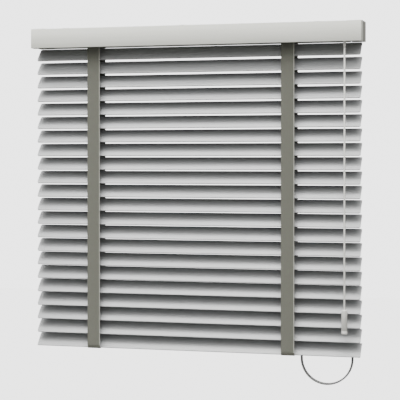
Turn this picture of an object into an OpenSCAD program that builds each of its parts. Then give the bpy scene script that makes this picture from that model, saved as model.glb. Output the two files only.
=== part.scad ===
// Venetian blind: tilting slats on woven ladder tapes, under a headrail with a wand tilter.
// +X runs to the right along the slats, +Y to the back and +Z up.
// The origin is at the centre of the mounting brackets' top faces. Lengths are millimetres.

/* [Slats] */
// Length of a slat
slat_l = 1011; // [900:1:1300]
// Depth of a slat, from its front edge to its back edge
slat_w = 51; // [46:0.5:51]
// Thickness of a slat
slat_t = 2.8; // [2:0.1:2.8]
// Height of the crown across a slat
crown = 1.6; // [1:0.1:1.6]
// Distance from one slat to the next
pitch = 42; // [38:0.5:44]
// Tilt of the slats from level, front edge down
tilt = 46.5; // [20:0.5:60]
// Radius of a slat's corners
corner_r = 5; // [2:0.5:8]

/* [Headrail] */
// Depth of the headrail channel
rail_w = 66; // [64:1:70]
// Height of the headrail channel
rail_h = 50; // [48:1:52]
// Length of the headrail channel
rail_l = 1005; // [900:1:1300]
// Thickness of the channel's wall
rail_t = 1.2; // [0.8:0.1:1.5]

/* [Valance] */
// Width of the valance over its returns
valance_w = 1025; // [1023:1:1310]
// Height of the valance board
valance_h = 59; // [55:1:62]
// Thickness of the valance board
valance_t = 8; // [6:0.5:8]
// Depth of the valance's returns
return_d = 30; // [20:1:30]

/* [Tapes and cords] */
// Width of a ladder tape
tape_w = 40; // [25:1:50]
// Place of the left tape's centre
tape_left_x = -316; // [-400:1:-250]
// Place of the right tape's centre
tape_right_x = 291; // [250:1:400]
// Radius of a lift cord
cord_r = 0.7; // [0.5:0.1:0.9]

/* [Tilter and wand] */
// Place of the wand along the headrail
wand_x = 462; // [420:1:470]
// Distance of the wand in front of the slats' centre
wand_y = -37; // [-38:0.5:-36]
// Radius of the wand
wand_r = 2.65; // [2:0.05:3]
// Height of the wand's lower end
wand_bottom = -912; // [-920:1:-850]
// Radius of the wand's grip
grip_r = 8.65; // [7:0.05:9]
// Length of the wand's grip
grip_l = 71; // [50:1:80]

/* [Pull loop] */
// Outer radius of the pull loop
loop_r = 78.5; // [60:0.5:90]
// Place of the pull loop's centre along the rail
loop_x = 401.5; // [380:0.5:410]
// Width of the loop's band
band_w = 14; // [10:1:14]
// Thickness of the loop's band
band_t = 5; // [1.5:0.1:5]

/* [Hidden] */
$fn = 48;
slat_count = 21;
first_z = -79;
rail_top = -1.5;
rail_floor = rail_top - rail_h;
rail_z = first_z - slat_count * pitch;
crown_r = (slat_w * slat_w / 4 + crown * crown) / (2 * crown);
route_l = 18;
route_w = 7;
tape_t = 0.8;
tape_y = 26;
tape_xs = [tape_left_x, tape_right_x];
steel = 1.5;
bracket_l = 42;
bracket_h = 53;
bracket_y = 35;
rear_bottom = -58.5;
valance_top = -2;
valance_y = -42;
rod_z = -24;
rod_s = 6.3;
drum_r = 14;
hub_r = 6;
run = 0.05;
gear_r = 9.6;
worm_r = 5.2;
worm_gap = 15;
stem_r = 3.2;
neck_r = 1.2;
ball_r = 3;
ball_z = -62;
ball_reach = sqrt(wand_y * wand_y + pow(ball_z - rod_z, 2));
worm_lean = atan2(-wand_y, rod_z - ball_z) - asin(worm_gap / ball_reach);
worm_run = sqrt(ball_reach * ball_reach - worm_gap * worm_gap);
belly_h = 9;
belly_l = slat_l - 12;
lug_drop = 18.5;
pin_r = 1.5;
loop_z = rail_z - 29.5;
loop_pivot_y = lug_drop * sin(tilt);
loop_pivot_z = rail_z - lug_drop * cos(tilt);

function two_digits(i) = i < 10 ? str("0", i) : str(i);
function slat_z(i) = first_z - (i - 1) * pitch;

SLATS = [for (i = [1:slat_count]) str("slat_", two_digits(i))];
SECTIONS = [for (i = [1:slat_count]) str("tape_section_", two_digits(i))];
FITTINGS = ["headrail", "mounting_brackets", "valance", "valance_clips", "tilt_rod", "tape_drums",
    "drum_cradles", "tilter_housing", "tilter_gear", "tilter_worm", "wand_hook", "wand", "wand_grip",
    "spring_motor", "lift_cords", "bottom_rail", "bottom_rail_plugs", "pull_loop"];

// A bar along X, with its middle at the origin, from an outline in Y and Z.
module bar_x(length) {
    rotate([90, 0, 90])
        linear_extrude(length, center = true)
            children();
}

// A rectangle with quarter-round corners.
module rounded_plate(length, width, radius) {
    square([length - 2 * radius, width], center = true);
    square([length, width - 2 * radius], center = true);
    for (sx = [-1, 1], sy = [-1, 1])
        translate([sx * (length / 2 - radius), sy * (width / 2 - radius)])
            circle(radius);
}

// The crowned board of a slat, level and centred, with its crown up.
module slat_shell() {
    intersection() {
        bar_x(slat_l)
            difference() {
                translate([0, slat_t / 2 - crown_r])
                    circle(crown_r, $fn = 200);
                translate([0, -slat_t / 2 - crown_r])
                    circle(crown_r, $fn = 200);
            }
        translate([0, 0, -crown - slat_t])
            linear_extrude(2 * (crown + slat_t))
                rounded_plate(slat_l, slat_w, corner_r);
    }
}

// A slat's board with the two slots that its lift cords run through.
module slat_blank() {
    difference() {
        slat_shell();
        for (x = tape_xs)
            translate([x, 0, -5])
                linear_extrude(10) {
                    square([route_w, route_l - route_w], center = true);
                    for (s = [-1, 1])
                        translate([0, s * (route_l - route_w) / 2])
                            circle(route_w / 2);
                }
    }
}

module slat(i) {
    color("#aab0b6")
        translate([0, 0, slat_z(i)])
            rotate([tilt, 0, 0])
                slat_blank();
}

// The webs of both tapes above slat i: from the headrail to the first slat, or from slat to slat.
// The last section runs on to the bottom rail.
module tape_section(i) {
    upper = i == 1 ? rail_floor + 6 : slat_z(i - 1);
    lower = i == slat_count ? rail_z - 12 : slat_z(i);
    color("#94958c")
        for (x = tape_xs, side = [-1, 1])
            translate([x, side * (tape_y + tape_t / 2), (upper + lower) / 2])
                cube([tape_w, tape_t, upper - lower], center = true);
}

module headrail() {
    lip = 6;
    flange_l = valance_w - 2 * bracket_l - 2;
    color("#b9bab4") {
        translate([-flange_l / 2, rail_w / 2 - rail_t, rear_bottom])
            cube([flange_l, rail_t, rail_floor - rear_bottom]);
        difference() {
            translate([-rail_l / 2, -rail_w / 2, rail_floor])
                cube([rail_l, rail_w, rail_h]);
            translate([-rail_l / 2 - 1, -rail_w / 2 + rail_t, rail_floor + rail_t])
                cube([rail_l + 2, rail_w - 2 * rail_t, rail_h - 2 * rail_t]);
            translate([-rail_l / 2 - 1, -rail_w / 2 + lip, rail_top - 2 * rail_t])
                cube([rail_l + 2, rail_w - 2 * lip, 3 * rail_t]);
            for (x = tape_xs, side = [-1, 1])
                translate([x, side * (tape_y + tape_t / 2), rail_floor])
                    cube([tape_w + 3, 4, 6], center = true);
            for (x = tape_xs)
                translate([x, 0, rail_floor - 1])
                    cylinder(r = 4, h = 4);
            translate([wand_x - 8, -rail_w / 2 - 1, rail_floor - 1])
                cube([16, 14, 12]);
        }
    }
}

// Each bracket is a steel end box, open at the front so that the headrail goes in.
module mounting_brackets() {
    inner_x = valance_w / 2 - bracket_l;
    notch_x = valance_w / 2 - 10;
    color("#a3a49c")
        for (side = [0, 1])
            mirror([side, 0, 0])
                difference() {
                    union() {
                        for (z = [-steel, -bracket_h])
                            translate([inner_x, -bracket_y, z])
                                cube([bracket_l, 2 * bracket_y, steel]);
                        translate([inner_x, bracket_y - steel, rear_bottom])
                            cube([bracket_l, steel, -rear_bottom]);
                        translate([valance_w / 2 - steel, -bracket_y, rear_bottom])
                            cube([steel, 2 * bracket_y, -rear_bottom]);
                    }
                    translate([notch_x, -bracket_y - 1, rear_bottom - 1])
                        cube([20, bracket_y + 1 - 50 + return_d, -rear_bottom - 0.5]);
                    for (y = [-18, 18])
                        translate([inner_x + 16, y, -5])
                            cylinder(r = 2.5, h = 10);
                    for (z = [-14, -40])
                        translate([inner_x + 16, bracket_y - 5, z])
                            rotate([-90, 0, 0])
                                cylinder(r = 2.5, h = 10);
                }
}

module valance() {
    color("#d8d9d3") {
        translate([-valance_w / 2, valance_y - valance_t, valance_top - valance_h])
            cube([valance_w, valance_t, valance_h]);
        for (side = [0, 1])
            mirror([side, 0, 0])
                translate([valance_w / 2 - 9, valance_y, valance_top - valance_h])
                    cube([9, return_d - valance_t, valance_h]);
    }
}

// Clear clips that hook over the headrail's front lip and hold the valance.
module valance_clips() {
    color("#dfe3e6")
        for (x = [-400, -30, 380])
            translate([x, 0, 0]) {
                translate([-9, valance_y, -40])
                    cube([18, 2, 39]);
                translate([-9, valance_y + 2, -1.4])
                    cube([18, 12, 1]);
                translate([-9, valance_y + 2, -30])
                    cube([18, -rail_w / 2 - valance_y - 2, 2]);
            }
}

module tilt_rod() {
    color("#c4c6c8")
        translate([tape_left_x - 30, -rod_s / 2, rod_z - rod_s / 2])
            cube([wand_x + 22 - tape_left_x + 30, rod_s, rod_s]);
}

// A square way for the tilt rod along X.
module rod_way(length) {
    cube([length, rod_s + 2 * run, rod_s + 2 * run], center = true);
}

module tape_drums() {
    drum_l = 34;
    color("#e4e4e0")
        for (x = tape_xs)
            translate([x, 0, rod_z])
                difference() {
                    rotate([0, 90, 0])
                        union() {
                            cylinder(r = drum_r, h = drum_l, center = true);
                            for (s = [-1, 1])
                                translate([0, 0, s * drum_l / 2])
                                    cylinder(r = drum_r + 2, h = 2, center = true);
                            cylinder(r = hub_r, h = drum_l + 14, center = true);
                        }
                    rod_way(60);
                }
}

module drum_cradles() {
    cheek_t = 4;
    base_z = rail_floor + rail_t + run;
    color("#dcdcd8")
        for (x = tape_xs)
            difference() {
                union() {
                    for (s = [-1, 1])
                        translate([x + s * 21 - cheek_t / 2, -11, base_z])
                            cube([cheek_t, 22, rod_z - base_z + 10]);
                    for (side = [-1, 1])
                        translate([x - 23, side * 13 - 4, base_z])
                            cube([46, 8, 3]);
                    for (s = [-1, 1])
                        translate([x + s * 21 - cheek_t / 2, -17, base_z])
                            cube([cheek_t, 34, 5]);
                }
                translate([x, 0, rod_z])
                    rotate([0, 90, 0])
                        cylinder(r = hub_r + run, h = 60, center = true);
            }
}

// Children are placed on the worm's axis, with +Z from the worm's middle down to the ball.
module on_worm_axis() {
    translate([wand_x, -worm_gap * cos(worm_lean), rod_z + worm_gap * sin(worm_lean)])
        rotate([-worm_lean, 0, 0])
            mirror([0, 0, 1])
                children();
}

module tilter_housing() {
    cheek_t = 2;
    inner = 11;
    color("#e8e8e4")
        difference() {
            union() {
                for (s = [-1, 1])
                    translate([wand_x + s * (inner + cheek_t / 2) - cheek_t / 2, -25, rail_floor + rail_t + run])
                        cube([cheek_t, 40, rail_h - 3 * rail_t - 4]);
                on_worm_axis() {
                    translate([-inner - 1, -6.5, 10.5])
                        cube([2 * inner + 2, 13, 8]);
                    translate([-inner - 1, -6.5, -15])
                        cube([2 * inner + 2, 13, 5]);
                }
            }
            on_worm_axis()
                translate([0, 0, -20])
                    cylinder(r = stem_r + run, h = 60);
            translate([wand_x, 0, rod_z])
                rotate([0, 90, 0])
                    cylinder(r = hub_r + run, h = 60, center = true);
        }
}

module tilter_gear() {
    teeth = 20;
    tooth_h = 1.4;
    color("#f0efe8")
        translate([wand_x, 0, rod_z])
            difference() {
                rotate([0, 90, 0])
                    union() {
                        cylinder(r = gear_r - tooth_h, h = 9, center = true);
                        cylinder(r = hub_r, h = 30, center = true);
                        for (i = [0:teeth - 1])
                            rotate([0, 0, i * 360 / teeth])
                                translate([gear_r - tooth_h - 0.5, -0.7, -4.5])
                                    cube([tooth_h + 0.4, 1.4, 9]);
                    }
                rod_way(60);
            }
}

module tilter_worm() {
    thread_l = 16;
    turns = 5;
    step = thread_l / turns;
    color("#f0efe8")
        on_worm_axis() {
            translate([0, 0, -14])
                cylinder(r = stem_r, h = worm_run - 8 + 14);
            for (i = [0:turns - 1])
                translate([0, 0, -thread_l / 2 + i * step + 0.6])
                    cylinder(r = worm_r, h = step / 2);
            cylinder(r = neck_r, h = worm_run);
            translate([0, 0, worm_run])
                sphere(ball_r);
        }
}

// The hook snaps over the worm's ball and holds the wand's upper end.
module wand_hook() {
    cup_r = 4.2;
    sleeve_r = 3.7;
    color("#c8c8c4")
        translate([wand_x, wand_y, ball_z])
            difference() {
                union() {
                    sphere(cup_r);
                    translate([0, 0, -17])
                        cylinder(r = sleeve_r, h = 17);
                }
                sphere(ball_r + run);
                translate([-10, -10, 1.6])
                    cube([20, 20, 10]);
                translate([0, 0, -18])
                    cylinder(r = wand_r + run, h = 12);
            }
}

module wand() {
    color("#c4c4c0")
        translate([wand_x, wand_y, wand_bottom + 20])
            cylinder(r = wand_r, h = ball_z - 7 - wand_bottom - 20);
}

module wand_grip() {
    dome = 3;
    color("#e2e2de")
        translate([wand_x, wand_y, wand_bottom])
            difference() {
                union() {
                    cylinder(r = grip_r, h = grip_l - dome);
                    translate([0, 0, grip_l - dome])
                        cylinder(r1 = grip_r, r2 = grip_r * 0.6, h = dome);
                }
                translate([0, 0, 20])
                    cylinder(r = wand_r, h = grip_l);
            }
}

// The spring unit: a tray with two coiled springs and two cord spools, under the tilt rod.
module spring_motor() {
    tray_l = 150;
    tray_w = 50;
    tray_h = 20;
    base_z = rail_floor + rail_t + run;
    color("#cfd0cc")
        translate([0, 0, base_z]) {
            difference() {
                translate([-tray_l / 2, -tray_w / 2, 0])
                    cube([tray_l, tray_w, tray_h]);
                translate([-tray_l / 2 + 2, -tray_w / 2 + 2, 2])
                    cube([tray_l - 4, tray_w - 4, tray_h]);
                for (s = [-1, 1])
                    translate([s * tray_l / 2, 0, 8])
                        cube([10, 6, 6], center = true);
            }
            for (x = [-54, -18, 18, 54])
                translate([x, 0, 2])
                    difference() {
                        cylinder(r = 16, h = 14);
                        translate([0, 0, -1])
                            cylinder(r = 4, h = 17);
                    }
        }
}

// The cords end just above the bottom rail, clear of it at every tilt.
module lift_cords() {
    top_z = rail_floor + 3;
    low_z = rail_z + slat_t + 2 * cord_r + 0.2;
    color("#8a8b84")
        for (x = tape_xs)
            translate([x, 0, low_z])
                cylinder(r = cord_r, h = top_z - low_z);
}

// Children are placed in the bottom rail's own level frame.
module on_bottom_rail() {
    translate([0, 0, rail_z])
        rotate([tilt, 0, 0])
            children();
}

// The rail has a slat's top and, a little short of its ends, a weighted belly under it.
module bottom_rail() {
    top_in = 6;
    bottom_in = 12;
    half = slat_w / 2;
    under = -belly_h - 2;
    color("#aab0b6")
        on_bottom_rail() {
            slat_shell();
            bar_x(belly_l)
                polygon([
                    [-half + top_in, -0.9], [half - top_in, -0.9],
                    [half - bottom_in, under], [-half + bottom_in, under]
                ]);
        }
}

// End caps, the two tape buttons and the two lugs that carry the pull loop.
module bottom_rail_plugs() {
    lug_w = 7;
    lug_x = loop_r - band_t - 0.3;
    pin_l = band_t + 1.4;
    under = -belly_h - 2;
    color("#8f9092")
        on_bottom_rail() {
            for (s = [-1, 1])
                translate([s * (belly_l / 2 + 0.75), 0, under / 2 - 1])
                    cube([1.5, 28, belly_h - 1], center = true);
            for (x = tape_xs)
                translate([x, 0, under - 2])
                    cylinder(r = 9, h = 2);
            for (s = [-1, 1]) {
                translate([loop_x + s * (lug_x - lug_w / 2) - lug_w / 2, -4, -lug_drop])
                    cube([lug_w, 8, lug_drop + under]);
                translate([loop_x + s * (lug_x - lug_w / 2), 0, -lug_drop])
                    rotate([0, 90, 0])
                        cylinder(r = 4.5, h = lug_w, center = true);
                translate([loop_x + s * (lug_x - 0.1 + pin_l / 2), 0, -lug_drop])
                    rotate([0, 90, 0])
                        cylinder(r = pin_r, h = pin_l, center = true);
                translate([loop_x + s * (loop_r + 0.9), 0, -lug_drop])
                    rotate([0, 90, 0])
                        cylinder(r = 2.8, h = 1.2, center = true);
            }
        }
}

// A bent band with an eye at each end, which hangs on the lugs' pins.
module pull_loop() {
    leg = loop_pivot_z - loop_z;
    eye_r = 7.2;
    color("#85868a")
        translate([loop_x, loop_pivot_y, loop_z])
            difference() {
                union() {
                    rotate([90, 0, 0])
                        linear_extrude(band_w, center = true)
                            difference() {
                                circle(loop_r, $fn = 96);
                                circle(loop_r - band_t, $fn = 96);
                                translate([-loop_r - 1, 0])
                                    square([2 * loop_r + 2, loop_r + 1]);
                            }
                    for (s = [-1, 1]) {
                        translate([s * (loop_r - band_t / 2) - band_t / 2, -band_w / 2, 0])
                            cube([band_t, band_w, leg]);
                        translate([s * (loop_r - band_t / 2), 0, leg])
                            rotate([0, 90, 0])
                                cylinder(r = eye_r, h = band_t, center = true);
                    }
                }
                translate([0, 0, leg])
                    rotate([0, 90, 0])
                        cylinder(r = pin_r + run, h = 2 * loop_r + 10, center = true);
            }
}

headrail();
mounting_brackets();
valance();
valance_clips();
tilt_rod();
tape_drums();
drum_cradles();
tilter_housing();
tilter_gear();
tilter_worm();
wand_hook();
wand();
wand_grip();
spring_motor();
lift_cords();
bottom_rail();
bottom_rail_plugs();
pull_loop();
for (i = [1:slat_count]) {
    slat(i);
    tape_section(i);
}
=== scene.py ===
"""Venetian blind: lacquered slats on woven ladder tapes, a painted valance, a tilt wand and a pull loop."""

import logging
import math
from dataclasses import dataclass, field
from enum import Enum
from typing import Any, Sequence

import bmesh
import bpy
from mathutils import Matrix, Vector

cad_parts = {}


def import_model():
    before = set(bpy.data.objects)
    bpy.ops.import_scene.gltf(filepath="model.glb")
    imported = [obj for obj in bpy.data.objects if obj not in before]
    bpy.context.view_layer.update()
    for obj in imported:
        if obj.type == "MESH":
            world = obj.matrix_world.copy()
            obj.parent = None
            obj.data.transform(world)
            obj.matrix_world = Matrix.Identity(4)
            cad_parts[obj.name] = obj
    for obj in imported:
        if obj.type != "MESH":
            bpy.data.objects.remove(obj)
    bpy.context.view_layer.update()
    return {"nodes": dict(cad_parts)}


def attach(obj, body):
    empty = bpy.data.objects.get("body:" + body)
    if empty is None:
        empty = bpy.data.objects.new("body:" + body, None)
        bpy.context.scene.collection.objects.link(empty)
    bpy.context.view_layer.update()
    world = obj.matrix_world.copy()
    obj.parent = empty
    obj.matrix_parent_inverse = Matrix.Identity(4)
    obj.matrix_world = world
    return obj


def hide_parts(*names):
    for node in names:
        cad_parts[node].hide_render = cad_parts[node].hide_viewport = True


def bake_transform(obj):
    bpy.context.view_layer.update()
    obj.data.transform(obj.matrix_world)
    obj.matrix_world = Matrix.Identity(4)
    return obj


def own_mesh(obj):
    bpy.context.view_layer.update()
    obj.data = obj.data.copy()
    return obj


Mesh = bmesh.types.BMesh
Piece = bpy.types.Object
Material = bpy.types.Material
World = bpy.types.World
Node = bpy.types.Node
Socket = bpy.types.NodeSocket
Outline = Sequence[tuple[float, float]]
Triple = tuple[float, float, float]

LOG = logging.getLogger("venetian_blind")
MM = 0.001

TILT = math.radians(46.5)
FIRST_Z = -79.0
PITCH = 42.0
SLAT_COUNT = 21
RAIL_Z = FIRST_Z - SLAT_COUNT * PITCH
TAPE_XS = (-316.0, 291.0)
ASSEMBLY = "headrail_assembly"
# The part of a noise's range that a pattern spreads over.
NOISE_SPAN = (0.3, 0.7)


class Axis(Enum):
    """The direction that a pattern runs in."""

    X = (1.0, 0.0, 0.0)
    Y = (0.0, 1.0, 0.0)
    Z = (0.0, 0.0, 1.0)


class Side(Enum):
    """Which way a web or a half rung faces: the room or the window."""

    FRONT = -1
    REAR = 1


# Helpers.


def linear(colour: str) -> tuple[float, ...]:
    """Turn an sRGB hex colour to linear light.

    Args:
        colour: Six hex digits after a hash sign.

    Returns:
        Red, green, blue and an alpha of one.
    """
    parts = [int(colour[i : i + 2], 16) / 255 for i in (1, 3, 5)]
    low = [p / 12.92 if p <= 0.04045 else ((p + 0.055) / 1.055) ** 2.4 for p in parts]
    return (low[0], low[1], low[2], 1.0)


def add_node(
    owner: Material | World,
    kind: str,
    settings: dict[str, Any] | None = None,
    inputs: dict[str | int, Any] | None = None,
) -> Node:
    """Add a shader node to a material or the surround, with its settings and its links.

    Args:
        owner: The material or the surround whose tree takes the node.
        kind: The node's type name after "ShaderNode".
        settings: Properties of the node itself.
        inputs: For each input, a value or the output socket that feeds it.

    Returns:
        The new node.
    """
    tree = owner.node_tree
    node = tree.nodes.new("ShaderNode" + kind)
    for name, value in (settings or {}).items():
        setattr(node, name, value)
    for name, value in (inputs or {}).items():
        if isinstance(value, Socket):
            tree.links.new(value, node.inputs[name])
        else:
            node.inputs[name].default_value = value
    return node


def mesh_object(name: str, bm: Mesh, angle: float = 35.0) -> Piece:
    """Store a bmesh as an object at the origin, smooth but for its sharp edges.

    Args:
        name: The piece's name.
        bm: The finished mesh, in millimetres; it is freed.
        angle: Edges that turn more than this, in degrees, stay sharp.

    Returns:
        The new object, in metres.
    """
    bmesh.ops.scale(bm, vec=(MM, MM, MM), verts=bm.verts)
    for edge in bm.edges:
        edge.smooth = len(edge.link_faces) == 2 and edge.calc_face_angle(0.0) < math.radians(angle)
    for face in bm.faces:
        face.smooth = True
    mesh = bpy.data.meshes.new(name)
    bm.to_mesh(mesh)
    bm.free()
    piece = bpy.data.objects.new(name, mesh)
    bpy.context.scene.collection.objects.link(piece)
    return piece


def dress(piece: Piece, material: Material) -> None:
    """Give a new piece its material, in a single slot."""
    piece.data.materials.clear()
    piece.data.materials.append(material)


def sharp_edges(bm: Mesh, angle: float = 50.0) -> list[bmesh.types.BMEdge]:
    """Return the edges whose faces turn by more than angle, in degrees."""
    return [e for e in bm.edges if len(e.link_faces) == 2 and e.calc_face_angle(0.0) > math.radians(angle)]


def round_off(
    bm: Mesh,
    geom: Sequence[Any],
    radius: float,
    segments: int,
    affect: str = "EDGES",
    clamp: bool = False,
) -> None:
    """Round the given edges, or a sheet's given corners; clamp keeps roundings from crossing."""
    bmesh.ops.bevel(
        bm,
        geom=geom,
        offset=radius,
        offset_type="OFFSET",
        segments=segments,
        profile=0.5,
        affect=affect,
        clamp_overlap=clamp,
        material=-1,
    )


def cut_across(bm: Mesh, place: Sequence[float], axis: Axis) -> None:
    """Add a row of vertices where a plane through a place, square to an axis, meets the mesh."""
    everything = [*bm.verts, *bm.edges, *bm.faces]
    bmesh.ops.bisect_plane(bm, geom=everything, plane_co=place, plane_no=axis.value)


def new_verts(grown: dict[str, Any]) -> list[bmesh.types.BMVert]:
    """Return the vertices that an extrusion made."""
    return [g for g in grown["geom"] if isinstance(g, bmesh.types.BMVert)]


def pull_face(bm: Mesh, face: bmesh.types.BMFace, way: Sequence[float]) -> None:
    """Pull a face out along a way, in millimetres, with walls behind it."""
    grown = bmesh.ops.extrude_face_region(bm, geom=[face])
    bmesh.ops.translate(bm, vec=way, verts=new_verts(grown))


def prism(points: Sequence[Sequence[float]], way: Sequence[float]) -> Mesh:
    """Return a closed bar whose outline is pulled along a way, in millimetres."""
    bm = bmesh.new()
    face = bm.faces.new([bm.verts.new(point) for point in points])
    pull_face(bm, face, way)
    bmesh.ops.recalc_face_normals(bm, faces=bm.faces)
    return bm


def ease_edges(bm: Mesh, radius: float, segments: int = 2, angle: float = 50.0) -> None:
    """Round every sharp edge of a closed mesh.

    Args:
        bm: The mesh.
        radius: Width of the rounding in millimetres.
        segments: Faces across the rounding.
        angle: Edges that turn more than this, in degrees, are rounded.
    """
    round_off(bm, sharp_edges(bm, angle), radius, segments, clamp=True)


def add_box(bm: Mesh, low: Sequence[float], high: Sequence[float]) -> list[bmesh.types.BMVert]:
    """Add a box between two corners, in millimetres, and return its corners."""
    centre = Vector([(a + b) / 2 for a, b in zip(low, high)])
    size = [b - a for a, b in zip(low, high)]
    matrix = Matrix.Translation(centre) @ Matrix.Diagonal((*size, 1.0))
    return bmesh.ops.create_cube(bm, size=1.0, matrix=matrix)["verts"]


def lathe(bm: Mesh, outline: Outline, steps: int = 40) -> None:
    """Turn an outline of (radius, height) points about Z into a closed body.

    Args:
        bm: The mesh that takes the body.
        outline: Points from the lower pole or rim to the upper one, in millimetres.
        steps: Faces round the body.
    """
    verts = [bm.verts.new((r, 0.0, z)) for r, z in outline]
    edges = [bm.edges.new(pair) for pair in zip(verts, verts[1:])]
    bmesh.ops.spin(
        bm, geom=verts + edges, cent=(0, 0, 0), axis=(0, 0, 1), angle=math.tau, steps=steps, use_merge=True
    )
    bmesh.ops.remove_doubles(bm, verts=bm.verts, dist=0.001)
    bmesh.ops.recalc_face_normals(bm, faces=bm.faces)


def arc(
    centre: tuple[float, float], radius: float, start: float, end: float, steps: int
) -> list[tuple[float, float]]:
    """Return points along an arc, from start to end in degrees."""
    turns = [math.radians(start + (end - start) * i / steps) for i in range(steps + 1)]
    return [(centre[0] + radius * math.cos(t), centre[1] + radius * math.sin(t)) for t in turns]


def near(a: float, b: float) -> bool:
    """Return whether two places agree to a hundredth of a millimetre."""
    return abs(a - b) < 0.01


def join_mesh(bm: Mesh, part: Mesh) -> None:
    """Add a finished part to a mesh and free the part."""
    spare = bpy.data.meshes.new("spare")
    part.to_mesh(spare)
    part.free()
    bm.from_mesh(spare)
    bpy.data.meshes.remove(spare)


def place_on_slat(bm: Mesh, height: float) -> None:
    """Turn a level mesh to the slats' tilt and lift it to a slat's height."""
    turn = Matrix.Translation((0.0, 0.0, height)) @ Matrix.Rotation(TILT, 4, "X")
    bmesh.ops.transform(bm, matrix=turn, verts=bm.verts)


def tilted(level: Outline, height: float) -> list[tuple[float, float]]:
    """Return (y, z) points turned to the slats' tilt about the X axis and lifted to a height."""
    cos, sin = math.cos(TILT), math.sin(TILT)
    return [(y * cos - z * sin, y * sin + z * cos + height) for y, z in level]


def measure_uv(piece: Piece, across: Axis = Axis.X, along: Axis = Axis.Z) -> None:
    """Lay a UV map in millimetres over a piece, for a weave that stays with the cloth."""
    mesh = piece.data
    layer = mesh.uv_layers.new(name="weave")
    a, b = Vector(across.value), Vector(along.value)
    for loop in mesh.loops:
        co = mesh.vertices[loop.vertex_index].co
        layer.data[loop.index].uv = (co.dot(a) / MM, co.dot(b) / MM)


def slat_z(i: int) -> float:
    """Return the height of slat i, which counts from one at the top."""
    return FIRST_Z - (i - 1) * PITCH


# Finishes.


@dataclass
class Surface:
    """A material in the making: its shader, and the coordinates that its patterns follow."""

    material: Material
    shader: Node
    place: Socket

    def feed(self, name: str, source: Socket) -> None:
        """Let a pattern drive one of the shader's sockets."""
        self.material.node_tree.links.new(source, self.shader.inputs[name])

    def noise(
        self, scale: float | Sequence[float], detail: float, place: Socket | None = None
    ) -> Node:
        """Add a noise.

        Args:
            scale: Patches in a metre, or in a metre along X, Y and Z.
            detail: Finer octaves in the noise.
            place: Coordinates other than the surface's own.

        Returns:
            The noise node.
        """
        place = place or self.place
        if not isinstance(scale, float):
            place = add_node(self.material, "Mapping", None, {"Vector": place, "Scale": scale}).outputs[0]
            scale = 1.0
        return add_node(self.material, "TexNoise", None, {"Vector": place, "Scale": scale, "Detail": detail})

    def mottle(
        self, size_mm: Sequence[float], low: str, high: str, detail: float = 4.0
    ) -> Socket:
        """Vary the base colour between two shades with a stretched noise.

        Args:
            size_mm: Size of a patch along X, Y and Z.
            low: The darker shade.
            high: The lighter shade.
            detail: Finer octaves in the noise.

        Returns:
            The noise's height, so that the roughness can follow it.
        """
        noise = self.noise(tuple(1000.0 / s for s in size_mm), detail)
        ramp = add_node(self.material, "ValToRGB", None, {"Fac": noise.outputs["Fac"]})
        for element, part, shade in zip(ramp.color_ramp.elements, NOISE_SPAN, (low, high)):
            element.position = part
            element.color = linear(shade)
        self.feed("Base Color", ramp.outputs["Color"])
        return noise.outputs["Fac"]

    def bump(self, height: Socket, depth_mm: float, strength: float) -> None:
        """Raise the surface by a height pattern that is depth_mm from low to high."""
        inputs = {"Height": height, "Distance": depth_mm * MM, "Strength": strength}
        self.feed("Normal", add_node(self.material, "Bump", None, inputs).outputs["Normal"])

    def follow(self, source: Socket, low: float, high: float) -> None:
        """Let the roughness run from low to high with a pattern."""
        ends = {"From Min": NOISE_SPAN[0], "From Max": NOISE_SPAN[1], "To Min": low, "To Max": high}
        spread = add_node(self.material, "MapRange", None, {"Value": source, **ends})
        self.feed("Roughness", spread.outputs["Result"])


@dataclass(frozen=True)
class Finish:
    """A surface finish, with what every finish has."""

    name: str
    colour: str
    roughness: float = 0.5

    def start(self, **sockets: Any) -> Surface:
        """Begin a material with its shader and its Object coordinates.

        Args:
            sockets: Values for the shader's sockets, with underscores for spaces.

        Returns:
            The surface, on which the finish then lays its patterns.
        """
        material = bpy.data.materials.new(self.name)
        material.use_nodes = True
        material.diffuse_color = linear(self.colour)
        shader = material.node_tree.nodes["Principled BSDF"]
        shader.inputs["Base Color"].default_value = linear(self.colour)
        shader.inputs["Roughness"].default_value = self.roughness
        for key, value in sockets.items():
            shader.inputs[key.replace("_", " ")].default_value = value
        return Surface(material, shader, add_node(material, "TexCoord").outputs["Object"])

    def make(self) -> Material:
        """Return the finished material."""
        raise NotImplementedError


@dataclass(frozen=True)
class SprayedLacquer(Finish):
    """Basswood with a sprayed silver-grey lacquer: long faint grain under a satin film."""

    low: str = "#A4A6A9"
    high: str = "#AFB1B3"
    grain_mm: Triple = (160.0, 3.0, 3.0)
    coat: float = 0.18

    def make(self) -> Material:
        """Return the lacquer: the grain shows as streaks along the slat and as a very shallow bump."""
        film = self.start(Coat_Weight=self.coat, Coat_Roughness=0.28, Specular_IOR_Level=0.45)
        streaks = film.mottle(self.grain_mm, self.low, self.high, 6.0)
        film.follow(streaks, self.roughness - 0.05, self.roughness + 0.07)
        film.bump(film.noise((12.0, 900.0, 900.0), 3.0).outputs["Fac"], 0.04, 0.4)
        return film.material


@dataclass(frozen=True)
class PaintedBoard(Finish):
    """Moulded wood board with a brushed-on off-white paint: soft long strokes, satin."""

    low: str = "#F0F2EA"
    high: str = "#F5F6EF"

    def make(self) -> Material:
        """Return the paint, with its strokes along the board about 1.5 mm apart."""
        paint = self.start(Coat_Weight=0.08, Coat_Roughness=0.35)
        patches = paint.mottle((240.0, 30.0, 9.0), self.low, self.high, 3.0)
        paint.follow(patches, self.roughness - 0.04, self.roughness + 0.06)
        paint.bump(paint.noise((9.0, 700.0, 700.0), 2.0).outputs["Fac"], 0.15, 0.4)
        return paint.material


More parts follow.
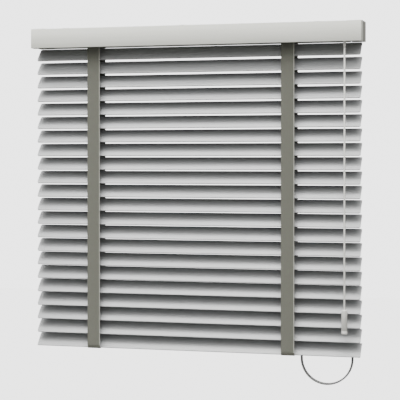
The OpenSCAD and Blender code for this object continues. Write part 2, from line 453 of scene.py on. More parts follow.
@dataclass(frozen=True)
class StovedSteel(Finish):
    """Roll-formed steel with stoved enamel: an even colour with a fine orange peel."""

    low: str = "#8B8C85"
    high: str = "#979890"

    def make(self) -> Material:
        """Return the enamel, with peel about 2 mm across."""
        enamel = self.start(Coat_Weight=0.25, Coat_Roughness=0.3)
        enamel.mottle((70.0, 40.0, 25.0), self.low, self.high, 3.0)
        enamel.bump(enamel.noise(500.0, 1.0).outputs["Fac"], 0.05, 0.5)
        return enamel.material


@dataclass(frozen=True)
class DrawnSteel(Finish):
    """Zinc-plated drawn steel bar: bright, with draw lines along its length."""

    def make(self) -> Material:
        """Return the steel, with draw lines about 0.6 mm apart."""
        steel = self.start(Metallic=1.0)
        steel.follow(steel.mottle((120.0, 0.6, 0.6), "#A9ACAF", "#C9CCCE", 5.0), 0.25, 0.45)
        return steel.material


@dataclass(frozen=True)
class Moulded(Finish):
    """Injection-moulded plastic with a fine spark-eroded grain."""

    low: str = "#D8D8D2"
    high: str = "#E4E4DE"
    grain_mm: float = 0.9
    depth_mm: float = 0.03
    coat: float = 0.0
    transmission: float = 0.0

    def make(self) -> Material:
        """Return the plastic, whose grain is drawn a little coarser than real so that it shows."""
        plastic = self.start(
            Coat_Weight=self.coat, Coat_Roughness=0.15, Transmission_Weight=self.transmission, IOR=1.49
        )
        patches = plastic.mottle((35.0, 35.0, 35.0), self.low, self.high, 2.0)
        plastic.follow(patches, self.roughness - 0.04, self.roughness + 0.05)
        plastic.bump(plastic.noise(1000.0 / self.grain_mm, 2.0).outputs["Fac"], self.depth_mm, 0.6)
        return plastic.material


@dataclass(frozen=True)
class WovenTape(Finish):
    """Polyester ladder tape in a plain weave, with a highlight painted lighter along each web's right edge:
    matt, with a soft sheen.
    """

    warp: str = "#787970"
    weft: str = "#686961"
    # Painted highlight: the lighter colour along each web's right edge.
    edge_highlight: str = "#A9AAA2"
    thread_mm: float = 1.5

    def make(self) -> Material:
        """Return the weave. Its threads are really about 0.5 mm apart and are drawn at 1.5 mm."""
        tape = self.start(Sheen_Weight=0.25, Sheen_Roughness=0.5, Specular_IOR_Level=0.2)
        material = tape.material
        uv = add_node(material, "UVMap", {"uv_map": "weave"}).outputs["UV"]
        parts = add_node(material, "SeparateXYZ", None, {"Vector": uv})
        waves = []
        for axis, step in (("X", self.thread_mm), ("Y", self.thread_mm * 1.15)):
            threads = {0: parts.outputs[axis], 1: math.pi / step}
            turn = add_node(material, "Math", {"operation": "MULTIPLY"}, threads)
            waves.append(add_node(material, "Math", {"operation": "SINE"}, {0: turn.outputs[0]}).outputs[0])
        weave = add_node(material, "Math", {"operation": "MULTIPLY"}, dict(enumerate(waves))).outputs[0]
        share = add_node(material, "MapRange", None, {"Value": weave, "From Min": -1.0, "From Max": 1.0})
        colours = {0: share.outputs["Result"], 6: linear(self.weft), 7: linear(self.warp)}
        cloth = add_node(material, "Mix", {"data_type": "RGBA"}, colours)
        slubs = {0: 0.25, 6: cloth.outputs[2], 7: tape.noise(0.35, 4.0, uv).outputs["Color"]}
        dyed = add_node(material, "Mix", {"data_type": "RGBA", "blend_type": "MULTIPLY"}, slubs)
        # The right edge takes the painted highlight's lighter colour.
        edge = add_node(material, "Attribute", {"attribute_name": "edge_highlight"})
        ends = {0: edge.outputs["Fac"], 6: dyed.outputs[2], 7: linear(self.edge_highlight)}
        tape.feed("Base Color", add_node(material, "Mix", {"data_type": "RGBA"}, ends).outputs[2])
        tape.bump(weave, 0.25, 0.5)
        return material


@dataclass(frozen=True)
class BraidedCord(Finish):
    """Polyester lift cord, braided: fine crossing strands."""

    strand_mm: float = 1.4

    def make(self) -> Material:
        """Return the braid as slanted bands up the cord."""
        braid = self.start(Sheen_Weight=0.2, Specular_IOR_Level=0.2)
        inputs = {"Vector": braid.place, "Scale": 1000.0 / self.strand_mm / 20.0, "Distortion": 0.5}
        bands = add_node(braid.material, "TexWave", {"bands_direction": "DIAGONAL"}, inputs)
        braid.mottle((2.0, 2.0, 5.0), "#7C7D76", "#94958D", 3.0)
        braid.bump(bands.outputs["Fac"], 0.15, 0.6)
        return braid.material


def made(finish: Finish) -> Any:
    """Return a field that makes a finish's material once."""
    return field(default_factory=finish.make)


@dataclass
class Finishes:
    """The blind's finishes, each made once."""

    # Satin grey boards with faint streaks along them.
    slat: Material = made(SprayedLacquer("lacquer_silver_grey_sprayed", "#AEB1B6", 0.42))
    # A warm off-white board with soft brush strokes.
    valance: Material = made(PaintedBoard("paint_off_white_satin", "#DEDFD9", 0.48))
    # Plain grey end plates, a shade darker than the valance.
    bracket: Material = made(StovedSteel("enamel_grey_stoved_steel", "#93948C", 0.42))
    # A lighter channel, seen from above and behind.
    channel: Material = made(
        StovedSteel("enamel_light_grey_stoved_steel", "#B7B8B2", 0.42, "#AEAFA9", "#BCBDB7")
    )
    # A bright square bar with lines along it.
    steel: Material = made(DrawnSteel("zinc_plated_drawn_steel", "#BBBDC0", 0.35))
    # Matt olive-grey bands, with a highlight painted lighter along the right edge.
    tape: Material = made(WovenTape("polyester_ladder_tape_woven", "#86877F", 0.85))
    # Thin matt cords with slanted strands.
    cord: Material = made(BraidedCord("polyester_lift_cord_braided", "#8A8B84", 0.8))
    # The white working parts in the channel.
    nylon: Material = made(Moulded("nylon_white_moulded", "#DEDED8", 0.5))
    # Clips that nearly vanish on the valance.
    clear: Material = made(
        Moulded("polycarbonate_clear_moulded", "#DDE2E4", 0.15, "#D8DDE0", "#E6EAEC", 2.0, 0.01, 0.3, 0.7)
    )
    # A pale glossy rod and grip that catch a highlight.
    wand: Material = made(
        Moulded("acrylic_grey_white_moulded", "#DCDCD8", 0.28, "#D4D4D0", "#E2E2DE", 1.5, 0.01, 0.4)
    )
    # The rail's dull grey caps, buttons and lugs.
    grey: Material = made(Moulded("abs_grey_moulded", "#8C8E8F", 0.5, "#868889", "#929495"))
    # A darker grey band that reads as a line under the rail.
    band: Material = made(
        Moulded("acetal_grey_band_moulded", "#757677", 0.5, "#6F7070", "#7C7D7E", 1.2, 0.04, 0.1)
    )


# Sub-assemblies.


@dataclass
class Slats:
    """The tilting slats: crowned, thin, with rounded corners and two cord slots each."""

    length: float = 1011.0
    width: float = 51.0
    thickness: float = 2.8
    crown: float = 1.6
    corner: float = 5.0
    slot_width: float = 7.0
    slot_length: float = 18.0
    edge: float = 0.6

    @property
    def crown_radius(self) -> float:
        """Radius of the slat's crown."""
        return (self.width**2 / 4 + self.crown**2) / (2 * self.crown)

    def drop(self, y: float) -> float:
        """Return how far the crown falls below its top at y."""
        return self.crown_radius - math.sqrt(self.crown_radius**2 - y * y)

    def level_slat(self) -> Mesh:
        """Return a level slat, centred, with its edges eased."""
        bm = bmesh.new()
        plan = Matrix.Diagonal((self.length, self.width, 1.0, 1.0))
        bmesh.ops.create_grid(bm, x_segments=1, y_segments=1, size=0.5, matrix=plan)
        half = self.slot_length / 2
        cuts = [(0.0, y, Axis.Y) for y in (-19.0, -14.0, -half, -4.5, 0.0, 4.5, half, 14.0, 19.0)]
        cuts += [(x + s * self.slot_width / 2, 0.0, Axis.X) for x in TAPE_XS for s in (-1, 1)]
        for x, y, axis in cuts:
            cut_across(bm, (x, y, 0.0), axis)
        inside = [
            f
            for f in bm.faces
            if abs(f.calc_center_median().y) < half
            and any(abs(f.calc_center_median().x - x) < self.slot_width / 2 for x in TAPE_XS)
        ]
        bmesh.ops.delete(bm, geom=inside, context="FACES")
        end, side, slot = self.length / 2, self.width / 2, self.slot_width / 2
        corners = [v for v in bm.verts if near(abs(v.co.x), end) and near(abs(v.co.y), side)]
        slot_ends = [v for v in bm.verts if near(abs(v.co.y), half)]
        slot_corners = [v for v in slot_ends if any(near(abs(v.co.x - x), slot) for x in TAPE_XS)]
        for verts, radius in ((corners, self.corner), (slot_corners, self.slot_width * 0.35)):
            round_off(bm, verts, radius, 5, "VERTICES")
        for v in bm.verts:
            v.co.z = self.thickness / 2 - self.drop(v.co.y)
        bmesh.ops.recalc_face_normals(bm, faces=bm.faces)
        if sum(f.normal.z for f in bm.faces) < 0:
            bmesh.ops.reverse_faces(bm, faces=bm.faces)
        skin = bmesh.ops.extrude_face_region(bm, geom=list(bm.faces))
        for v in set(bm.verts) - set(new_verts(skin)):
            v.co.z -= self.thickness
        bmesh.ops.recalc_face_normals(bm, faces=bm.faces)
        ease_edges(bm, self.edge, 3, 60.0)
        return bm

    def build(self, finishes: Finishes) -> None:
        """Build every slat in its place, each on its own body.

        Args:
            finishes: The blind's finishes.
        """
        master = self.level_slat()
        for i in range(1, SLAT_COUNT + 1):
            bm = master.copy()
            place_on_slat(bm, slat_z(i))
            piece = mesh_object(f"slat_board_{i:02d}", bm)
            dress(piece, finishes.slat)
            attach(piece, f"slat_{i:02d}")
            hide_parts(f"slat_{i:02d}")
        master.free()
        LOG.info("built %d slats", SLAT_COUNT)


@dataclass
class BottomRail:
    """The weighted bottom rail, its end caps, tape buttons and loop lugs."""

    slats: Slats
    belly: float = 9.0
    top_in: float = 6.0
    bottom_in: float = 12.0
    cap: float = 1.5
    lug_width: float = 7.0
    belly_in: float = 6.0

    @property
    def under(self) -> float:
        """Height of the belly's flat bottom in the rail's own frame."""
        return -self.belly - 2.0

    def crowned_top(self) -> list[tuple[float, float]]:
        """Return the section of the rail's top as (y, z) points: a slat's crowned board."""
        half, rise = self.slats.width / 2, self.slats.thickness / 2
        steps = 16
        ys = [-half + self.slats.width * i / steps for i in range(steps + 1)]
        upper = [(y, rise - self.slats.drop(y)) for y in ys]
        lower = [(y, -rise - self.slats.drop(y)) for y in reversed(ys)]
        return [*upper, *lower]

    def belly_section(self) -> list[tuple[float, float]]:
        """Return the belly's section, whose upper side lies inside the top."""
        top, bottom = self.slats.width / 2 - self.top_in, self.slats.width / 2 - self.bottom_in
        return [(-top, -0.9), (top, -0.9), (bottom, self.under), (-bottom, self.under)]

    def section_bar(self, x_low: float, x_high: float, points: Outline) -> Mesh:
        """Extrude a section of (y, z) points along X between two places."""
        return prism([(x_low, y, z) for y, z in points], (x_high - x_low, 0.0, 0.0))

    def build(self, finishes: Finishes, loop: "PullLoop") -> None:
        """Build the rail with its end caps, buttons and lugs.

        Args:
            finishes: The blind's finishes.
            loop: The pull loop that the lugs carry.
        """
        half, side = self.slats.length / 2, self.slats.width / 2
        bm = self.section_bar(-half, half, self.crowned_top())
        corners = [
            e
            for e in bm.edges
            if near(e.verts[0].co.x, e.verts[1].co.x)
            and all(near(abs(v.co.x), half) and near(abs(v.co.y), side) for v in e.verts)
        ]
        round_off(bm, corners, 2.0, 4)
        ease_edges(bm, 0.6, 3, 60.0)
        belly = self.section_bar(-half + self.belly_in, half - self.belly_in, self.belly_section())
        ease_edges(belly, 0.8, 3, 30.0)
        join_mesh(bm, belly)
        place_on_slat(bm, RAIL_Z)
        rail = mesh_object("bottom_rail_board", bm)
        dress(rail, finishes.slat)
        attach(rail, "bottom_rail")
        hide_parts("bottom_rail")
        self.build_caps(finishes)
        self.build_buttons(finishes)
        self.build_lugs(finishes, loop)
        LOG.info("built the bottom rail")

    def build_caps(self, finishes: Finishes) -> None:
        """Build the two end caps that close the belly."""
        half = self.slats.width / 2
        points = [
            (half - self.top_in - 1.0, -3.2),
            (half - self.bottom_in, self.under + 0.2),
            (-half + self.bottom_in, self.under + 0.2),
            (-half + self.top_in + 1.0, -3.2),
        ]
        end = self.slats.length / 2 - self.belly_in
        for name, start in (("left", -end - self.cap), ("right", end)):
            bm = self.section_bar(start, start + self.cap, points)
            ease_edges(bm, 0.4, 2, 40.0)
            place_on_slat(bm, RAIL_Z)
            cap = mesh_object(f"rail_end_cap_{name}", bm)
            dress(cap, finishes.grey)
            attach(cap, "bottom_rail")

    def build_buttons(self, finishes: Finishes) -> None:
        """Build the dished buttons that hold the tapes' folded ends under the rail."""
        dish = [(0.0, -1.2), (4.5, -1.3), (6.5, -2.0), (8.4, -2.0), (9.0, -1.4), (9.0, 0.0), (0.0, 0.0)]
        bm = bmesh.new()
        for x in TAPE_XS:
            part = bmesh.new()
            lathe(part, dish, 32)
            bmesh.ops.translate(part, vec=(x, 0.0, self.under - 0.9), verts=part.verts)
            join_mesh(bm, part)
        place_on_slat(bm, RAIL_Z)
        buttons = mesh_object("tape_buttons", bm)
        dress(buttons, finishes.grey)
        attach(buttons, "bottom_rail")

    def build_lugs(self, finishes: Finishes, loop: "PullLoop") -> None:
        """Build the two lugs under the rail, each with the headed pin that an eye of the loop turns on."""
        drop, pin = loop.pivot_drop, loop.thickness + 1.4
        profile = [(-4.3, self.under + 0.4), *arc((0.0, -drop), 4.5, 180, 360, 14), (4.3, self.under + 0.4)]
        shank = [(0.0, 0.0), (1.5, 0.0), (1.5, pin)]
        headed = [*shank, (2.8, pin), (2.8, pin + 0.6), (2.3, pin + 1.1), (0.0, pin + 1.2)]
        bm = bmesh.new()
        for s in (-1, 1):
            face = loop.x + s * (loop.radius - loop.thickness - 0.3)
            far = face - s * self.lug_width
            lug = self.section_bar(min(face, far), max(face, far), profile)
            ease_edges(lug, 0.5, 2, 60.0)
            join_mesh(bm, lug)
            bolt = bmesh.new()
            lathe(bolt, headed, 24)
            turn = Matrix.Translation((face - s * 0.1, 0.0, -drop)) @ Matrix.Rotation(s * math.pi / 2, 4, "Y")
            bmesh.ops.transform(bolt, matrix=turn, verts=bolt.verts)
            join_mesh(bm, bolt)
        place_on_slat(bm, RAIL_Z)
        lugs = mesh_object("pull_loop_lugs", bm, 40.0)
        dress(lugs, finishes.grey)
        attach(lugs, "bottom_rail")
        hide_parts("bottom_rail_plugs")


@dataclass
class LadderTapes:
    """The two woven ladder tapes: front and rear webs, and the rungs that carry the slats."""

    slats: Slats
    width: float = 40.0
    thickness: float = 0.8
    gap: float = 26.0
    # Width of the painted highlight along each web's right edge.
    edge_highlight: float = 2.2
    rung_width: float = 9.0
    rung_thickness: float = 0.7
    top: float = -45.5

    def web(self, name: str, x: float, side: Side, high: float, low: float, rows: int) -> Piece:
        """Build one flat web of a tape.

        Args:
            name: The piece's name.
            x: Place of its centre along the slats.
            side: Whether it hangs in front of the slats or behind them.
            high: Its upper end.
            low: Its lower end.
            rows: Rows of faces along it.

        Returns:
            The web, with its weave laid over it in millimetres.
        """
        bm = bmesh.new()
        inner = side.value * self.gap
        outer = side.value * (self.gap + self.thickness)
        half = self.width / 2
        add_box(bm, (x - half, min(inner, outer), low), (x + half, max(inner, outer), high))
        upright = [e for e in bm.edges if abs(e.verts[0].co.z - e.verts[1].co.z) > 1]
        round_off(bm, upright, 0.35, 2)
        for k in range(1, rows):
            z = high + (low - high) * k / rows
            cut_across(bm, (0, 0, z), Axis.Z)
        # Rows of vertices at the inner edge of the painted highlight.
        for inset in (self.edge_highlight - 0.1, self.edge_highlight + 0.2):
            cut_across(bm, (x + half - inset, 0, 0), Axis.X)
        piece = mesh_object(name, bm, 80.0)
        measure_uv(piece)
        self.mark_edge_highlight(piece, x)
        return piece

    def mark_edge_highlight(self, piece: Piece, x: float) -> None:
        """Mark a web's right edge, where a highlight is painted lighter into the weave."""
        edge = piece.data.attributes.new("edge_highlight", "FLOAT", "POINT")
        for v in piece.data.vertices:
            edge.data[v.index].value = 1.0 if v.co.x / MM - x > self.width / 2 - self.edge_highlight else 0.0

    def build(self, finishes: Finishes) -> None:
        """Build the webs, the folded tails and every rung.

        Args:
            finishes: The blind's finishes.
        """
        low = RAIL_Z - 12.0
        for where, x in zip(("left", "right"), TAPE_XS):
            for side in Side:
                word = side.name.lower()
                upper = self.web(f"tape_{where}_{word}_top", x, side, self.top, FIRST_Z, 4)
                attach(upper, ASSEMBLY)
                lower = self.web(f"tape_{where}_{word}_web", x, side, FIRST_Z, low, 84)
                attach(lower, ASSEMBLY)
                for piece in (upper, lower):
                    dress(piece, finishes.tape)
                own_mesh(lower)
        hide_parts("tape_section_01")
        rest = [f"tape_section_{i:02d}" for i in range(2, SLAT_COUNT + 1)]
        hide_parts(*rest)
        for i in range(1, SLAT_COUNT + 1):
            for side in Side:
                self.rung(i, side, finishes)
        for side in Side:
            self.tail(side, finishes)
        LOG.info("built two ladder tapes with %d rungs each", SLAT_COUNT)

    def strip(
        self, path: Outline, xs: Sequence[float], width: float, thick: float
    ) -> Mesh:
        """Build flat strips that follow a path of (y, z) points, one at each x.

        Args:
            path: Points along the strips' upper face, from the web inwards.
            xs: Centres of the strips along the slats.
            width: Width of a strip.
            thick: Thickness of a strip.

        Returns:
            The strips in one closed mesh each.
        """
        bm = bmesh.new()
        for x in xs:
            start = [bm.verts.new((x - width / 2, y, z)) for y, z in path]
            chain = [bm.edges.new(pair) for pair in zip(start, start[1:])]
            grown = bmesh.ops.extrude_edge_only(bm, edges=chain)
            bmesh.ops.translate(bm, vec=(width, 0.0, 0.0), verts=new_verts(grown))
        bmesh.ops.recalc_face_normals(bm, faces=bm.faces)
        bmesh.ops.solidify(bm, geom=list(bm.faces), thickness=thick)
        bmesh.ops.recalc_face_normals(bm, faces=bm.faces)
        return bm

    def rung(self, i: int, side: Side, finishes: Finishes) -> None:
        """Build the half rungs of both tapes under slat i, from one web to the slat's middle."""
        s = side.value
        under = -self.slats.thickness / 2 - 0.25
        half = self.slats.width / 2
        level = [(s * y, under - self.slats.drop(y)) for y in (half - 0.5, 18.0, 11.0, 4.0, 0.0)]
        turned = tilted(level, slat_z(i))
        lip_y, lip_z = turned[0]
        web_y = s * self.gap
        bend = [
            (web_y, lip_z),
            (web_y * 0.65 + lip_y * 0.35, lip_z + 0.3),
            (web_y * 0.25 + lip_y * 0.75, lip_z + 0.2),
        ]
        xs = [x + k * 10.0 for x in TAPE_XS for k in (-1, 1)]
        bm = self.strip([*bend, *turned], xs, self.rung_width, self.rung_thickness)
        piece = mesh_object(f"tape_rungs_{side.name.lower()}_{i:02d}", bm, 80.0)
        measure_uv(piece, Axis.X, Axis.Y)
        dress(piece, finishes.tape)
        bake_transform(piece)

    def tail(self, side: Side, finishes: Finishes) -> None:
        """Build the folded ends of both tapes, from a web's lower end round the rail's belly."""
        s = side.value
        half = self.slats.width / 2
        flat = -11.9
        level = [(s * (half + 0.4), -3.5), (s * (half - 5.5), -4.5), (s * (half - 11.6), flat), (s * 8.0, flat)]
        turned = tilted(level, RAIL_Z)
        web_y = s * (self.gap + 0.15)
        lip_y, lip_z = turned[0]
        fold = [
            (web_y, lip_z + 9.0),
            (web_y, lip_z + 3.0),
            (web_y * 0.8 + lip_y * 0.2, lip_z),
            (web_y * 0.3 + lip_y * 0.7, lip_z - 0.6),
        ]
        bm = self.strip([*fold, *turned], TAPE_XS, self.width - 0.4, 0.7)
        piece = mesh_object(f"tape_tails_{side.name.lower()}", bm, 80.0)
        measure_uv(piece)
        dress(piece, finishes.tape)
        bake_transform(piece)


@dataclass
class LiftCords:
    """The two braided cords that run down through the slats' slots."""

    radius: float = 0.7
    top: float = -48.5
    low: float = RAIL_Z + 4.4

    def build(self, finishes: Finishes) -> None:
        """Build both cords, which shorten as the blind is lifted."""
        bm = bmesh.new()
        for x in TAPE_XS:
            middle = (self.top + self.low) / 2
            bmesh.ops.create_cone(
                bm,
                cap_ends=True,
                segments=10,
                radius1=self.radius,
                radius2=self.radius,
                depth=self.top - self.low,
                matrix=Matrix.Translation((x, 0.0, middle)),
            )
        rows = 60
        for k in range(1, rows):
            z = self.top + (self.low - self.top) * k / rows
            cut_across(bm, (0, 0, z), Axis.Z)
        cords = mesh_object("lift_cords_braided", bm)
        dress(cords, finishes.cord)
        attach(cords, ASSEMBLY)
        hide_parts("lift_cords")
        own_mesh(cords)
        LOG.info("built the lift cords")


@dataclass
class Valance:
    """The painted valance board with its two mitred returns."""

    width: float = 1025.0
    height: float = 59.0
    thickness: float = 8.0
    depth: float = 30.0
    top: float = -2.0
    back: float = -42.0
    side_thickness: float = 9.0

    def board(self, name: str, plan: Outline, finishes: Finishes) -> None:
        """Build one board from its plan outline of (x, y) points."""
        bm = prism([(x, y, self.top - self.height) for x, y in plan], (0.0, 0.0, self.height))
        ease_edges(bm, 0.6, 3, 60.0)
        piece = mesh_object(name, bm)
        dress(piece, finishes.valance)
        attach(piece, ASSEMBLY)

    def build(self, finishes: Finishes) -> None:
        """Build the front board and both returns.

        Args:
            finishes: The blind's finishes.
        """
        half, front = self.width / 2, self.back - self.thickness
        inner = half - self.side_thickness
        mitre = 0.12
        wide, narrow = half - mitre, inner - mitre
        plan = [(-wide, front), (wide, front), (narrow, self.back), (-narrow, self.back)]
        self.board("valance_board", plan, finishes)
        for word, s in (("left", -1), ("right", 1)):
            back = front + self.depth
            outer, inside = s * half, s * inner
            plan = [(outer, front + mitre), (outer, back), (inside, back), (inside, self.back + mitre)]
            self.board(f"valance_return_{word}", plan, finishes)
        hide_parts("valance")
        LOG.info("built the valance")


@dataclass
class Wand:
    """The tilt wand: a hook sleeve, a slim rod and a cylindrical grip."""

    x: float = 462.0
    y: float = -37.0
    radius: float = 2.65
    hook_z: float = -62.0
    bottom: float = -912.0
    grip_radius: float = 8.65
    grip_length: float = 71.0

    def turned(
        self, name: str, outline: Outline, body: str, node: str, finishes: Finishes
    ) -> None:
        """Build one turned piece on the wand's axis, for a CAD node on a body."""
        bm = bmesh.new()
        lathe(bm, outline)
        bmesh.ops.translate(bm, vec=(self.x, self.y, 0.0), verts=bm.verts)
        piece = mesh_object(name, bm, 40.0)
        dress(piece, finishes.wand)
        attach(piece, body)
        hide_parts(node)

    def build(self, finishes: Finishes) -> None:
        """Build the hook, the rod and the grip.

        Args:
            finishes: The blind's finishes.
        """
        z = self.hook_z
        cup = arc((0.0, z), 4.2, -28, 20, 6)
        sleeve = [(2.72, z - 17.0), (3.4, z - 17.0), (3.7, z - 16.6), (3.7, z - 3.0)]
        mouth = [(3.2, z + 1.6), (2.6, z + 1.6), *arc((0.0, z), 3.05, 30, -88, 8)]
        bore = [(0.0, z - 3.05), (0.0, z - 6.0), (2.72, z - 6.0), (2.72, z - 17.0)]
        self.turned("wand_hook_sleeve", [*sleeve, *cup, *mouth, *bore], "hook", "wand_hook", finishes)
        r = self.radius
        foot = self.bottom + 20.0
        rod = [(0.0, foot), (r, foot), (r, z - 8.2), (r - 0.6, z - 7.4), (0.0, z - 7.4)]
        self.turned("wand_rod", rod, "wand", "wand", finishes)
        g, low = self.grip_radius, self.bottom
        top = low + self.grip_length
        grip = [
            (0.0, low + 0.6),
            (g - 2.2, low + 0.2),
            *arc((g - 1.4, low + 1.4), 1.4, -90, 0, 4),
            (g, low + 9.0),
            (g - 0.35, low + 9.5),
            (g - 0.35, low + 10.3),
            (g, low + 10.8),
            *arc((g - 3.0, top - 3.0), 3.0, 0, 70, 5),
            (r + 1.6, top - 0.1),
            (r + 0.15, top),
            (r + 0.05, top - 4.0),
            (0.0, top - 4.0),
        ]
        self.turned("wand_grip_barrel", grip, "wand", "wand_grip", finishes)
        LOG.info("built the wand")


@dataclass
class PullLoop:
    """The moulded band under the bottom rail, with an eye at each end."""

    x: float = 401.5
    radius: float = 78.5
    band: float = 14.0
    thickness: float = 5.0
    centre_z: float = RAIL_Z - 29.5
    pivot_drop: float = 18.5
    edge: float = 1.4
    leg_gap: float = 2.0
    pin_hole: float = 1.6
    eye_radius: float = 7.2

    def build(self, finishes: Finishes) -> None:
        """Bend the band's rounded section round the loop and up its two legs.

        Args:
            finishes: The blind's finishes.
        """
        y = self.pivot_drop * math.sin(TILT)
        pivot_z = RAIL_Z - self.pivot_drop * math.cos(TILT)
        leg = pivot_z - self.centre_z
        middle = self.radius - self.thickness / 2
        bm = bmesh.new()
        half_t, half_b, round_r = self.thickness / 2, self.band / 2, self.edge
        ring: list[tuple[float, float]] = []
        for cx, cy, start in ((1, 1, 0), (-1, 1, 90), (-1, -1, 180), (1, -1, 270)):
            centre = (cx * (half_t - round_r), cy * (half_b - round_r))
            ring += arc(centre, round_r, start, start + 90, 3)
        section = bm.faces.new([bm.verts.new((-middle + a, b, 0.0)) for a, b in ring])
        turn = bmesh.ops.spin(
            bm, geom=[section], cent=(0, 0, 0), axis=(0, 1, 0), angle=-math.pi, steps=64, use_merge=False
        )
        last = [g for g in turn["geom_last"] if isinstance(g, bmesh.types.BMFace)]
        for face in (section, *last):
            if not face.is_valid:
                continue
            pull_face(bm, face, (0.0, 0.0, leg - self.leg_gap))
            bmesh.ops.delete(bm, geom=[face], context="FACES")
        bmesh.ops.remove_doubles(bm, verts=bm.verts, dist=0.001)
        bmesh.ops.recalc_face_normals(bm, faces=bm.faces)
        bmesh.ops.translate(bm, vec=(self.x, y, self.centre_z), verts=bm.verts)
        loop = mesh_object("pull_loop_band", bm, 60.0)
        dress(loop, finishes.band)
        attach(loop, "pull_loop")
        self.build_eyes(finishes, y, pivot_z)
        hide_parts("pull_loop")
        LOG.info("built the pull loop")

    def build_eyes(self, finishes: Finishes, y: float, pivot_z: float) -> None:
        """Build the moulded eyes that turn on the lugs' pins."""
        for word, s in (("left", -1), ("right", 1)):
            bm = bmesh.new()
            t = self.thickness / 2 + 0.05
            hole, rim, ease = self.pin_hole, self.eye_radius, 0.9
            outside = [(rim - ease, -t), (rim, -t + ease), (rim, t - ease), (rim - ease, t)]
            section = [(hole, -t), *outside, (hole, t), (hole, -t)]
            lathe(bm, section, 32)
            turn = Matrix.Rotation(math.radians(90), 4, "Y")
            bmesh.ops.transform(bm, matrix=turn, verts=bm.verts)
            middle = self.x + s * (self.radius - self.thickness / 2)
            bmesh.ops.translate(bm, vec=(middle, y, pivot_z), verts=bm.verts)
            eye = mesh_object(f"pull_loop_eye_{word}", bm, 40.0)
            dress(eye, finishes.band)
            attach(eye, "pull_loop")


@dataclass
class HeadrailFittings:
    """The CAD nodes of the headrail and its mechanism, which only take their finishes."""

    nodes: dict[str, Piece]

    def build(self, finishes: Finishes) -> None:
        """Dress every carried-over node.

        Args:
            finishes: The blind's finishes.
        """
        plan: dict[str, Material] = {
            "headrail": finishes.channel,
            "mounting_brackets": finishes.bracket,
            "valance_clips": finishes.clear,
            "tilt_rod": finishes.steel,
        }
        working = ("tape_drums", "drum_cradles", "tilter_housing", "tilter_gear", "tilter_worm", "spring_motor")
        plan |= dict.fromkeys(working, finishes.nylon)
        for name, material in plan.items():
            node = self.nodes[name]
            if not node.material_slots:
                node.data.materials.append(material)
            for slot in node.material_slots:
                slot.material = material
        LOG.info("dressed %d carried-over nodes", len(plan))


# Studio.


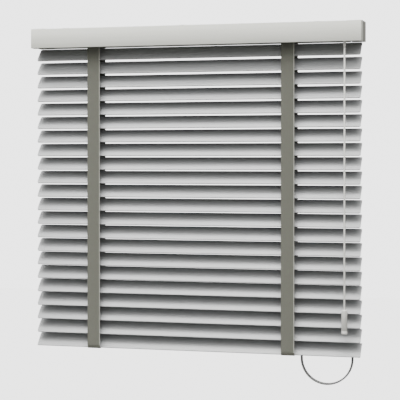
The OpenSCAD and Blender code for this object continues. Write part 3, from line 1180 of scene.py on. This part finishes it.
@dataclass
class Studio:
    """The camera, the soft lights and the pale floor."""

    camera_place: Triple = (1.1699, -4.042, -0.4075)
    azimuth: float = 15.94
    down: float = 0.44
    lens: float = 125.46
    shift_y: float = -0.0715
    floor_z: float = -1.6
    brightness: float = 18.0
    room_glow: tuple[tuple[float, float], ...] = (
        (-0.15, 0.012), (0.2, 0.03), (0.4, 0.06), (0.6, 0.1), (0.78, 0.24), (0.9, 0.75), (0.97, 1.0)
    )
    window_glow: tuple[tuple[float, float], ...] = ((0.0, 0.03), (0.5, 0.02), (0.65, 0.0))
    room_share: tuple[tuple[float, float], ...] = ((-0.3, 1.0), (-0.05, 0.0))
    seen_glow: float = 3.4
    floor_glow: float = 3.0
    floor_half: float = 8000.0
    key_place: Triple = (-1.0, -1.0, 3.5)
    key_aim: Triple = (0.0, 0.0, -0.5)
    key_size: float = 2.2
    key_power: float = 140.0

    def camera(self) -> None:
        """Make the camera and set it as the scene's."""
        data = bpy.data.cameras.new("camera")
        data.sensor_width = 36.0
        data.lens = self.lens
        data.shift_y = self.shift_y
        data.clip_end = 100.0
        camera = bpy.data.objects.new("camera", data)
        camera.location = self.camera_place
        camera.rotation_euler = (math.radians(90.0 - self.down), 0.0, math.radians(self.azimuth))
        bpy.context.scene.collection.objects.link(camera)
        bpy.context.scene.camera = camera

    def key_light(self) -> None:
        """Add the soft square light over the room."""
        data = bpy.data.lights.new("key_light", "AREA")
        data.size = self.key_size
        data.energy = self.key_power
        light = bpy.data.objects.new("key_light", data)
        light.location = self.key_place
        direction = Vector(self.key_aim) - Vector(self.key_place)
        light.rotation_euler = direction.to_track_quat("-Z", "Y").to_euler()
        bpy.context.scene.collection.objects.link(light)

    def floor(self) -> None:
        """Lay the pale floor under the blind."""
        bm = bmesh.new()
        bmesh.ops.create_grid(bm, x_segments=1, y_segments=1, size=self.floor_half)
        bmesh.ops.translate(bm, vec=(0.0, 0.0, self.floor_z / MM), verts=bm.verts)
        floor = mesh_object("studio_floor", bm)
        material = bpy.data.materials.new("studio_floor_pale")
        material.use_nodes = True
        shader = material.node_tree.nodes["Principled BSDF"]
        shader.inputs["Base Color"].default_value = linear("#5C5C5A")
        shader.inputs["Roughness"].default_value = 0.9
        glow = add_node(material, "Emission", None, {"Color": linear("#FFFFFF"), "Strength": self.floor_glow})
        path = add_node(material, "LightPath")
        both = add_node(material, "AddShader", None, {0: shader.outputs[0], 1: glow.outputs[0]})
        shares = {0: path.outputs["Is Camera Ray"], 1: shader.outputs[0], 2: both.outputs[0]}
        mix = add_node(material, "MixShader", None, shares)
        out = material.node_tree.nodes["Material Output"]
        material.node_tree.links.new(mix.outputs[0], out.inputs["Surface"])
        floor.data.materials.append(material)

    def glow_by(
        self,
        world: World,
        part: Socket,
        steps: Outline,
        gain: float,
    ) -> Socket:
        """Return a glow that runs through steps of (direction's part, glow).

        Args:
            world: The surround.
            part: One part of the direction, from -1 to 1.
            steps: Where each glow is reached, in rising order.
            gain: Factor on every glow.

        Returns:
            The socket that gives the glow.
        """
        span = add_node(world, "MapRange", None, {"Value": part, "From Min": -1.0})
        ramp = add_node(world, "ValToRGB", None, {"Fac": span.outputs["Result"]})
        while len(ramp.color_ramp.elements) < len(steps):
            ramp.color_ramp.elements.new(0.5)
        for element, (place, glow) in zip(ramp.color_ramp.elements, steps):
            element.position = (place + 1.0) / 2.0
            element.color = (glow, glow, glow, 1.0)
        scaled = add_node(world, "Math", {"operation": "MULTIPLY"}, {0: ramp.outputs["Color"], 1: gain})
        return scaled.outputs[0]

    def world(self) -> None:
        """Set the surround, which lights most from high over the room and is seen as plain and pale."""
        world = bpy.data.worlds.new("studio_surround")
        world.use_nodes = True
        world.node_tree.nodes.clear()
        place = add_node(world, "TexCoord")
        parts = add_node(world, "SeparateXYZ", None, {0: place.outputs["Generated"]})
        room = self.glow_by(world, parts.outputs["Z"], self.room_glow, self.brightness)
        window = self.glow_by(world, parts.outputs["Z"], self.window_glow, self.brightness)
        side = self.glow_by(world, parts.outputs["Y"], self.room_share, 1.0)
        blend = add_node(world, "Mix", None, {0: side, 2: window, 3: room})
        sky = {"Color": linear("#FBFAF6"), "Strength": blend.outputs[0]}
        light = add_node(world, "Background", None, sky)
        seen = add_node(world, "Background", None, {"Color": linear("#FFFFFF"), "Strength": self.seen_glow})
        path = add_node(world, "LightPath")
        shares = {0: path.outputs["Is Camera Ray"], 1: light.outputs[0], 2: seen.outputs[0]}
        mix = add_node(world, "MixShader", None, shares)
        add_node(world, "OutputWorld", None, {"Surface": mix.outputs[0]})
        bpy.context.scene.world = world

    def build(self) -> None:
        """Set up the whole studio."""
        self.camera()
        self.floor()
        self.world()
        self.key_light()


def main() -> None:
    """Build the blind round its frame, piece by piece."""
    logging.basicConfig(level=logging.INFO)
    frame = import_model()
    Studio().build()
    finishes = Finishes()
    slats = Slats()
    Valance().build(finishes)
    slats.build(finishes)
    loop = PullLoop()
    BottomRail(slats).build(finishes, loop)
    LadderTapes(slats).build(finishes)
    LiftCords().build(finishes)
    Wand().build(finishes)
    loop.build(finishes)
    HeadrailFittings(frame["nodes"]).build(finishes)


if __name__ == "__main__":
    main()
